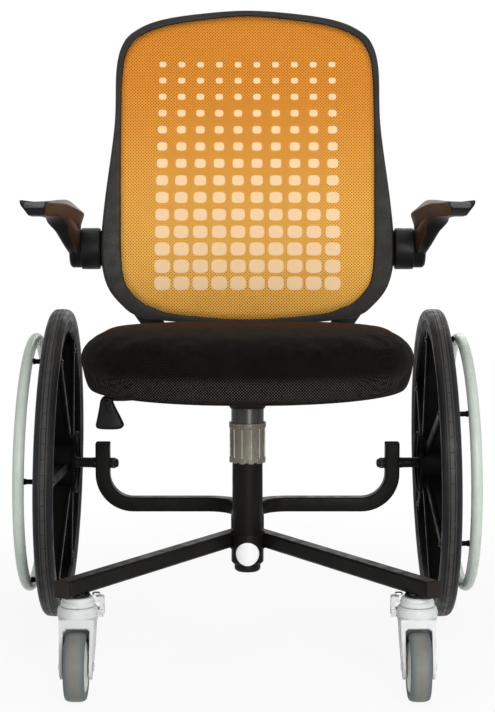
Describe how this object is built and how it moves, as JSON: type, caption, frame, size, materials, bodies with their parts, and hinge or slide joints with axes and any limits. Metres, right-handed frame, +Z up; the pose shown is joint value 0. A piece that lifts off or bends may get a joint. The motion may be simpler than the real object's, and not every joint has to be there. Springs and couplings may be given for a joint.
{
  "type": "wheelchair with swivelling seat",
  "caption": "Light wheelchair: swivelling, height-adjustable office seat with mesh back and flip-up armrests on a welded frame with cambered spoked wheels, push rims and swivel casters.",
  "frame": {"origin": "middle of the chair's bounding box, on the floor", "axes": "+Z up; the sitter faces -Y, so the sitter's left is +X"},
  "size_m": [0.772, 0.8514, 1.0575],
  "materials": {
    "powder_coat": "satin black powder coat",
    "black_plastic": "fine-grained black",
    "frame_plastic": "fine-grained dark grey",
    "wheel_plastic": "satin black",
    "tyre_rubber": "dull dark grey",
    "handrim_coat": "glossy pale grey-green coating",
    "caster_grey": "satin light grey",
    "caster_cream": "satin pale grey",
    "caster_rubber": "dull mid grey",
    "zinc": "zinc plated",
    "bright_steel": "bright ground",
    "smoked_plastic": "smoky translucent look",
    "gloss_black": "glossy black",
    "seat_fabric": "black knit",
    "orange_mesh": "orange open net",
    "plywood": "plain"
  },
  "bodies": {
    "frame": {"column_tube": "powder_coat", "column_hub": "powder_coat", "column_end_cap": "black_plastic", "front_leg_left": "powder_coat", "front_leg_right": "powder_coat", "leg_plug_left": "black_plastic", "leg_plug_right": "black_plastic", "rear_arm_left": "powder_coat", "rear_arm_right": "powder_coat", "arm_plug_left": "black_plastic", "arm_plug_right": "black_plastic", "wheel_axle_left": "zinc", "wheel_axle_right": "zinc", "axle_spacer_left": "powder_coat", "axle_spacer_right": "powder_coat", "caster_head_left": "caster_grey", "caster_head_right": "caster_grey", "caster_stem_left": "zinc", "caster_stem_right": "zinc", "guide_bush": "black_plastic", "lift_collar": "smoked_plastic", "thrust_bearing": "bright_steel"},
    "piston": {"piston_rod": "bright_steel"},
    "seat": {"gas_cylinder": "bright_steel", "lift_cover": "gloss_black", "seat_mechanism": "powder_coat", "seat_pan": "plywood", "seat_cushion": "seat_fabric", "back_yoke": "frame_plastic", "back_frame": "frame_plastic", "back_mesh": "orange_mesh", "armrest_hub_left": "black_plastic", "armrest_hub_right": "black_plastic"},
    "lever": {"height_lever": "powder_coat", "lever_paddle": "black_plastic"},
    "release_pin": {"release_pin": "bright_steel"},
    "armrest_left": {"armrest_arm_left": "black_plastic", "armrest_pad_left": "gloss_black"},
    "wheel_left": {"wheel_left": "wheel_plastic", "tyre_left": "tyre_rubber", "handrim_left": "handrim_coat", "hub_cap_left": "black_plastic", "wheel_bearings_left": "bright_steel"},
    "caster_left": {"caster_fork_left": "caster_grey", "caster_axle_left": "zinc"},
    "caster_wheel_left": {"caster_hub_left": "caster_cream", "caster_tyre_left": "caster_rubber"},
    "caster_lock_left": {"caster_lock_left": "caster_grey"},
    "armrest_right": {"armrest_arm_right": "black_plastic", "armrest_pad_right": "gloss_black"},
    "wheel_right": {"wheel_right": "wheel_plastic", "tyre_right": "tyre_rubber", "handrim_right": "handrim_coat", "hub_cap_right": "black_plastic", "wheel_bearings_right": "bright_steel"},
    "caster_right": {"caster_fork_right": "caster_grey", "caster_axle_right": "zinc"},
    "caster_wheel_right": {"caster_hub_right": "caster_cream", "caster_tyre_right": "caster_rubber"},
    "caster_lock_right": {"caster_lock_right": "caster_grey"}
  },
  "joints": [
    {"name": "seat_swivel", "type": "hinge", "parent": "frame", "child": "piston", "pos_m": [0, -0.01275, 0.2], "axis": [0, 0, 1], "continuous": true},
    {"name": "seat_lift", "type": "slide", "parent": "piston", "child": "seat", "axis": [0, 0, 1], "range_m": [0, 0.055]},
    {"name": "lever_pull", "type": "hinge", "parent": "seat", "child": "lever", "pos_m": [-0.036, -0.01275, 0.4125], "axis": [0, 1, 0], "range_deg": [0, 3.2], "stiffness_Nm_per_rad": 4, "springref_deg": -2.86},
    {"name": "release_press", "type": "slide", "parent": "seat", "child": "release_pin", "axis": [0, 0, -1], "range_m": [0, 0.0021]},
    {"name": "wheel_left_roll", "type": "hinge", "parent": "frame", "child": "wheel_left", "pos_m": [0.327, 0.15925, 0.26658], "axis": [0.9998, 0, 0.0209], "continuous": true},
    {"name": "caster_left_swivel", "type": "hinge", "parent": "frame", "child": "caster_left", "pos_m": [0.2475, -0.34475, 0.12], "axis": [0, 0, 1], "continuous": true},
    {"name": "caster_left_roll", "type": "hinge", "parent": "caster_left", "child": "caster_wheel_left", "pos_m": [0.2475, -0.37575, 0.05], "axis": [1, 0, 0], "continuous": true},
    {"name": "caster_left_lock", "type": "hinge", "parent": "caster_left", "child": "caster_lock_left", "pos_m": [0.2132, -0.33475, 0.1215], "axis": [0, -1, 0], "range_deg": [0, 35]},
    {"name": "armrest_left_flip", "type": "hinge", "parent": "seat", "child": "armrest_left", "pos_m": [0.3, 0.19325, 0.637], "axis": [-1, 0, 0], "range_deg": [0, 90]},
    {"name": "wheel_right_roll", "type": "hinge", "parent": "frame", "child": "wheel_right", "pos_m": [-0.327, 0.15925, 0.26658], "axis": [-0.9998, 0, 0.0209], "continuous": true},
    {"name": "caster_right_swivel", "type": "hinge", "parent": "frame", "child": "caster_right", "pos_m": [-0.2475, -0.34475, 0.12], "axis": [0, 0, 1], "continuous": true},
    {"name": "caster_right_roll", "type": "hinge", "parent": "caster_right", "child": "caster_wheel_right", "pos_m": [-0.2475, -0.37575, 0.05], "axis": [1, 0, 0], "continuous": true},
    {"name": "caster_right_lock", "type": "hinge", "parent": "caster_right", "child": "caster_lock_right", "pos_m": [-0.2132, -0.33475, 0.1215], "axis": [0, 1, 0], "range_deg": [0, 35]},
    {"name": "armrest_right_flip", "type": "hinge", "parent": "seat", "child": "armrest_right", "pos_m": [-0.3, 0.19325, 0.637], "axis": [-1, 0, 0], "range_deg": [0, 90]}
  ],
  "couplings": [
    {"joint": "release_press", "follows": "lever_pull", "m_per_rad": 0.036}
  ]
}
